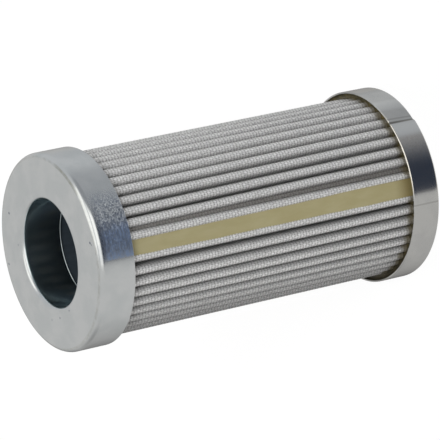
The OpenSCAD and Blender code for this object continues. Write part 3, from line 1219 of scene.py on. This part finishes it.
@dataclass
class ClosedEndAdhesive:
    """Adhesive poured into the closed cap: it stands round the pleats and creeps up the skirt."""

    core_r: float = 12.96
    toe_r: float = 21.15
    skirt_r: float = 22.0
    sheet: float = 0.5
    wall_rise: float = 0.55
    wall_step: tuple[float, float] = (0.2, 0.22)
    toe_rise: float = 0.12
    toe_step: tuple[float, float] = (0.3, 0.06)
    spread: float = 1.5
    spread_rise: float = 0.02
    level_from: float = 3.5
    wave: float = 0.05
    wave_inside: float = 2.0
    wave_below: float = 0.1
    columns: int = 360

    def build(self, finish: PotAdhesive) -> Object:
        """Builds the adhesive as a turned ring with a hollow fillet by the skirt and a waving surface."""
        top = frame_box("closed_end_adhesive")[1][2]
        toe, wall_top, toe_top = self.toe_r, top + self.wall_rise, top + self.toe_rise
        outline = [
            (self.core_r, self.sheet),
            (self.skirt_r, self.sheet),
            (self.skirt_r, wall_top),
            (self.skirt_r - self.wall_step[0], wall_top - self.wall_step[1]),
            (toe + self.toe_step[0], toe_top + self.toe_step[1]),
            (toe, toe_top),
            (toe - self.spread, top + self.spread_rise),
            (toe - self.level_from, top),
            (self.core_r, top),
        ]
        self.waving_from = top - self.wave_below
        name = "closed_end_adhesive_pool"
        ring = lathe(name, np.array(outline), self.columns, finish.material(), self.ripple)
        return dress(ring, "closed_end_adhesive")

    def ripple(self, angle: Array, radius: Array, height: Array) -> Array:
        """Small waves of the fillet, as a sum of three sines round the axis."""
        inside = np.clip((self.skirt_r - radius) / (self.skirt_r - self.toe_r), 0, 1)
        waves = np.sin(5 * angle) + np.sin(13 * angle + 1.0) + np.sin(31 * angle + 2.0)
        waving = (height > self.waving_from) * (radius > self.toe_r - self.wave_inside)
        return self.wave * waves * inside * waving


@dataclass
class CarriedNodes:
    """Finishes of the CAD nodes that are shown as they are."""

    def dress(self) -> None:
        """Gives each carried node its material."""
        for name, finish in (("core_tube", CoreSteel()), ("open_end_adhesive", PotAdhesive())):
            material = finish.material()
            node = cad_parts[name]
            node.data.materials.clear()
            node.data.materials.append(material)
            log.info("%s carries %s", name, material.name)


@dataclass
class Studio:
    """White floor and backdrop, the room that lights the element, and the camera.

    The camera is the one that the photograph's perspective was fitted with. Its offsets are
    measured from the centre of the open face. A lamp is a name, a strength and a place, with the
    azimuth round the element from +X.
    """

    floor_size: float = 5000.0
    floor_drop: float = 0.03
    dome_r: float = 2400.0
    dome_low: float = 0.02
    dome_rows: int = 13
    dome_columns: int = 48
    image_px: float = 440.0
    focal_px: float = 3474.84
    sensor_width: float = 36.0
    clip_end: float = 50.0
    azimuth: float = 7.35
    elevation: float = 30.08
    roll_right: tuple[float, float] = (-0.2100, -0.9777)
    offset_right: float = 37.90
    offset_up: float = 7.447
    distance: float = 767.95
    lamps: tuple[tuple[str, float, Place], ...] = (
        ("key_light", 2.2, (45.0, -75.0)),
        ("fill_light", 1.1, (35.0, 98.0)),
    )
    lamp_spread: float = 20.0

    def camera_axes(self) -> tuple[Vector, Vector, Vector]:
        """Camera's right, up and back directions: the level view turned about its own line of sight."""
        back = direction((self.elevation, self.azimuth), WORLD_X, WORLD_Z, -WORLD_Y)
        level_right = direction((0.0, self.azimuth), WORLD_Y, WORLD_Z, WORLD_X)
        level_up = back.cross(level_right)
        across, up = self.roll_right
        right = across * level_right + up * level_up
        return right, back.cross(right), back

    def add_camera(self) -> None:
        """Sets the camera."""
        axes = self.camera_axes()
        data = bpy.data.cameras.new("photo_camera")
        data.sensor_width = self.sensor_width
        data.sensor_fit = "HORIZONTAL"
        data.lens = self.sensor_width * self.focal_px / self.image_px
        data.clip_end = self.clip_end
        camera = bpy.data.objects.new("photo_camera", data)
        place = Vector((0, 0, frame_box("open_end_cap")[1][2]))
        for length, axis in zip((self.offset_right, self.offset_up, self.distance), axes):
            place += length * axis
        camera.matrix_world = Matrix.Translation(place * MM) @ Matrix(axes).transposed().to_4x4()
        bpy.context.scene.collection.objects.link(camera)
        bpy.context.scene.camera = camera

    def add_lamps(self) -> None:
        """Sets the wide lamps. The metal mirrors the room's own lamp in their place."""
        for name, strength, place in self.lamps:
            data = bpy.data.lights.new(name, "SUN")
            data.energy = strength
            data.angle = math.radians(self.lamp_spread)
            lamp = bpy.data.objects.new(name, data)
            toward = direction(place, WORLD_Y, WORLD_Z, WORLD_X)
            lamp.rotation_euler = toward.to_track_quat("Z", "Y").to_euler()
            lamp.visible_glossy = False
            bpy.context.scene.collection.objects.link(lamp)

    def add_floor(self) -> None:
        """Lays the white floor just under the closed cap. The metal mirrors the room past it."""
        half = self.floor_size / 2
        corners = np.array([(-half, -half), (half, -half), (half, half), (-half, half)])
        points = np.concatenate([corners, np.full((4, 1), -self.floor_drop)], axis=1)
        floor = add_piece("floor", points, [np.array([[0, 1, 2, 3]])], StudioPaper().material())
        floor.visible_glossy = False

    def add_backdrop(self) -> None:
        """Hangs a white half dome round the scene, seen by the camera alone: circles that shrink upwards."""
        rise = np.linspace(-self.dome_low, math.pi / 2 - self.dome_low, self.dome_rows)[:, None]
        turn = (np.arange(self.dome_columns) * TURN / self.dome_columns)[None, :]
        level, height = self.dome_r * np.cos(rise), self.dome_r * np.sin(rise) + 0 * turn
        points = np.stack([level * np.cos(turn), level * np.sin(turn), height], axis=-1).reshape(-1, 3)
        quads = grid_quads(self.dome_rows, self.dome_columns, wrap_columns=True)[:, ::-1]
        shader = Shader("backdrop_white")
        backdrop = add_piece("backdrop", points, [quads], shader.close(shader.glow((1.0, 1.0, 1.0))))
        for rays in ("diffuse", "glossy", "transmission", "shadow"):
            setattr(backdrop, "visible_" + rays, False)

    def build(self) -> None:
        """Sets the whole studio."""
        bpy.context.scene.view_settings.view_transform = "Standard"
        self.add_camera()
        self.add_floor()
        self.add_backdrop()
        self.add_lamps()
        bpy.context.scene.world = StudioRoom().surround(self.camera_axes())
        log.info("studio is set")


def main() -> None:
    """Builds the studio and the element's pieces in order."""
    logging.basicConfig(level=logging.INFO, format="%(message)s")
    Studio().build()
    CarriedNodes().dress()
    OpenCap().build(PlatedSteel("open_cap_steel"))
    closed_steel = PlatedSteel(
        name="closed_cap_steel",
        colour=(0.70, 0.705, 0.693),
        dull_colour=(0.645, 0.652, 0.645),
        roughness=0.14,
        # A weaker, warmer painted reflection on the closed cap's skirt.
        painted_reflection_share=0.4,
        reflection_band_roughness=0.06,
        painted_reflection_colour=(0.64, 0.58, 0.54),
        painted_reflection_high_colour=(0.84, 0.73, 0.64),
        speck_roughness=0.1,
        # Painted reflection: bright bands on the closed cap's skirt.
        painted_reflection_bands=((-53.5, 6.5, 0.8), (-33.0, 6.0, 0.35)),
        # Painted highlight on the rim.
        rim_highlight_share=1.0,
        bore_tint_share=0.0,
        mark_and_shade_colour=(0.22, 0.215, 0.2),
        marks=(),
        # Painted shade: dark stripes along the skirt, one of them in the crease.
        painted_shade_lines=(
            (-48.0, 1.1, 0.9), (-45.2, 0.8, 0.3), (-100.5, 0.7, 0.25),
            (-2.0, 16.0, 0.35), (-174.0, 16.0, 0.7), (-130.0, 45.0, 0.1),
        ),
    )
    ClosedCap().build(closed_steel)
    pack = PleatPack()
    pack.build(WovenWire())
    # The lap's darker colours are painted shade, for its low place between the pleats.
    pack.add_lap(WovenWire(name="lap_woven_wire", colour=(0.40, 0.385, 0.37), gap_colour=(0.2, 0.19, 0.18)))
    HiddenLayers().build(pack)
    SeamStrip().build(CuredResin())
    ClosedEndAdhesive().build(PotAdhesive(name="closed_end_pot_adhesive"))


if __name__ == "__main__":
    main()
